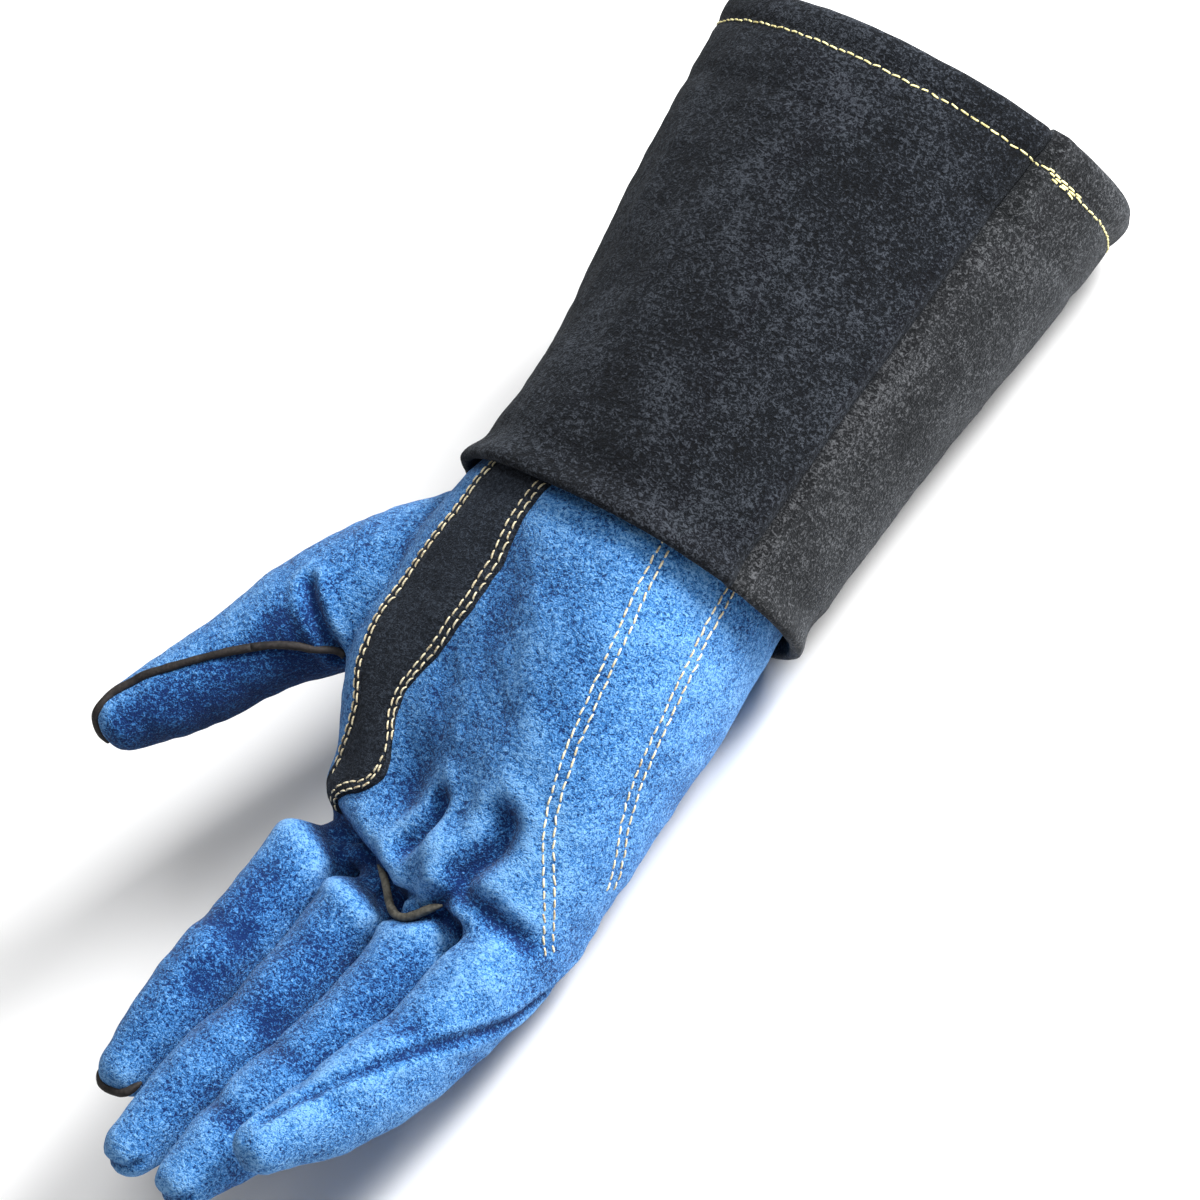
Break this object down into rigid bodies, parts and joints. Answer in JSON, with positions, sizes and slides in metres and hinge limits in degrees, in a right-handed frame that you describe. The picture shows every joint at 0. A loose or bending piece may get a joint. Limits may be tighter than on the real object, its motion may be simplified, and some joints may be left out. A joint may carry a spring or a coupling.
{
  "type": "welding glove",
  "caption": "Right-hand gauntlet welding glove of suede leather with a flared cuff, thumb strap, fleece lining and bending fingers.",
  "frame": {"origin": "on the surface under the glove, at the middle of its outline, with the back of the hand down", "axes": "+X from the fingers to the cuff's mouth, +Y towards the thumb, +Z out of the palm"},
  "size_m": [0.3572, 0.1778, 0.1034],
  "materials": {
    "blue_suede": "split suede, fine mottled nap, matte",
    "black_suede": "split suede, coarse nap, matte",
    "strap_suede": "smoother split leather, matte",
    "fleece_lining": "brushed cotton fleece",
    "cream_thread": "spun heat-resistant thread",
    "yellow_thread": "spun heat-resistant thread",
    "welt_leather": "smooth leather piping",
    "grey_welt_leather": "smooth leather piping"
  },
  "bodies": {
    "hand": {"palm_panel": "blue_suede", "back_panel": "blue_suede", "hand_lining": "fleece_lining", "thumb_strap": "strap_suede", "finger_base_welt": "grey_welt_leather", "inner_row_stitch_a": "cream_thread", "inner_row_stitch_b": "cream_thread", "outer_row_stitch_a": "cream_thread", "outer_row_stitch_b": "cream_thread", "strap_stitch_thumb_side_a": "cream_thread", "strap_stitch_thumb_side_b": "cream_thread", "strap_stitch_palm_side_a": "cream_thread", "strap_stitch_palm_side_b": "cream_thread", "strap_stitch_end_a": "cream_thread", "strap_stitch_end_b": "cream_thread"},
    "cuff": {"cuff_palm_panel": "black_suede", "cuff_back_panel": "black_suede", "cuff_lining": "fleece_lining", "hem_stitch_palm_side": "yellow_thread", "hem_stitch_back_little_side": "yellow_thread", "hem_stitch_back_thumb_side": "yellow_thread"},
    "index_proximal": {"index_proximal_palm_side": "blue_suede", "index_proximal_back_side": "blue_suede", "index_proximal_lining": "fleece_lining"},
    "index_distal": {"index_distal_palm_side": "blue_suede", "index_distal_back_side": "blue_suede", "index_distal_lining": "fleece_lining", "index_tip_welt": "welt_leather"},
    "middle_proximal": {"middle_proximal_palm_side": "blue_suede", "middle_proximal_back_side": "blue_suede", "middle_proximal_lining": "fleece_lining"},
    "middle_distal": {"middle_distal_palm_side": "blue_suede", "middle_distal_back_side": "blue_suede", "middle_distal_lining": "fleece_lining"},
    "ring_proximal": {"ring_proximal_palm_side": "blue_suede", "ring_proximal_back_side": "blue_suede", "ring_proximal_lining": "fleece_lining"},
    "ring_distal": {"ring_distal_palm_side": "blue_suede", "ring_distal_back_side": "blue_suede", "ring_distal_lining": "fleece_lining"},
    "little_proximal": {"little_proximal_palm_side": "blue_suede", "little_proximal_back_side": "blue_suede", "little_proximal_lining": "fleece_lining"},
    "little_distal": {"little_distal_palm_side": "blue_suede", "little_distal_back_side": "blue_suede", "little_distal_lining": "fleece_lining"},
    "thumb_proximal": {"thumb_proximal_upper_panel": "blue_suede", "thumb_proximal_lower_panel": "blue_suede", "thumb_proximal_lining": "fleece_lining", "thumb_proximal_welt": "welt_leather"},
    "thumb_distal": {"thumb_distal_upper_panel": "blue_suede", "thumb_distal_lower_panel": "blue_suede", "thumb_distal_lining": "fleece_lining", "thumb_distal_welt": "welt_leather"}
  },
  "joints": [
    {"name": "wrist_flex", "type": "hinge", "parent": "hand", "child": "cuff", "pos_m": [0.0325, -0.018, 0.0427], "axis": [0, 1, 0], "range_deg": [-8, 16]},
    {"name": "index_knuckle", "type": "hinge", "parent": "hand", "child": "index_proximal", "pos_m": [-0.0695, 0.0195, 0.028], "axis": [0, 1, 0], "range_deg": [-12, 38]},
    {"name": "index_middle_joint", "type": "hinge", "parent": "index_proximal", "child": "index_distal", "pos_m": [-0.1115, 0.0175, 0.0385], "axis": [0, 1, 0], "range_deg": [-8, 36]},
    {"name": "middle_knuckle", "type": "hinge", "parent": "hand", "child": "middle_proximal", "pos_m": [-0.0735, -0.0055, 0.026], "axis": [0, 1, 0], "range_deg": [-12, 38]},
    {"name": "middle_middle_joint", "type": "hinge", "parent": "middle_proximal", "child": "middle_distal", "pos_m": [-0.1275, -0.006, 0.0345], "axis": [0, 1, 0], "range_deg": [-8, 36]},
    {"name": "ring_knuckle", "type": "hinge", "parent": "hand", "child": "ring_proximal", "pos_m": [-0.0735, -0.0305, 0.0215], "axis": [0, 1, 0], "range_deg": [-12, 38]},
    {"name": "ring_middle_joint", "type": "hinge", "parent": "ring_proximal", "child": "ring_distal", "pos_m": [-0.1315, -0.03, 0.0325], "axis": [0, 1, 0], "range_deg": [-8, 36]},
    {"name": "little_knuckle", "type": "hinge", "parent": "hand", "child": "little_proximal", "pos_m": [-0.0695, -0.0555, 0.0205], "axis": [0, 1, 0], "range_deg": [-12, 38]},
    {"name": "little_middle_joint", "type": "hinge", "parent": "little_proximal", "child": "little_distal", "pos_m": [-0.1085, -0.055, 0.028], "axis": [0, 1, 0], "range_deg": [-8, 33]},
    {"name": "thumb_base", "type": "hinge", "parent": "hand", "child": "thumb_proximal", "pos_m": [-0.0075, 0.038, 0.05], "axis": [1, 0, 0], "range_deg": [-10, 25]},
    {"name": "thumb_tip_joint", "type": "hinge", "parent": "thumb_proximal", "child": "thumb_distal", "pos_m": [-0.0445, 0.0655, 0.0578], "axis": [0.1374, -0.0653, 0.9884], "range_deg": [-8, 30]}
  ]
}
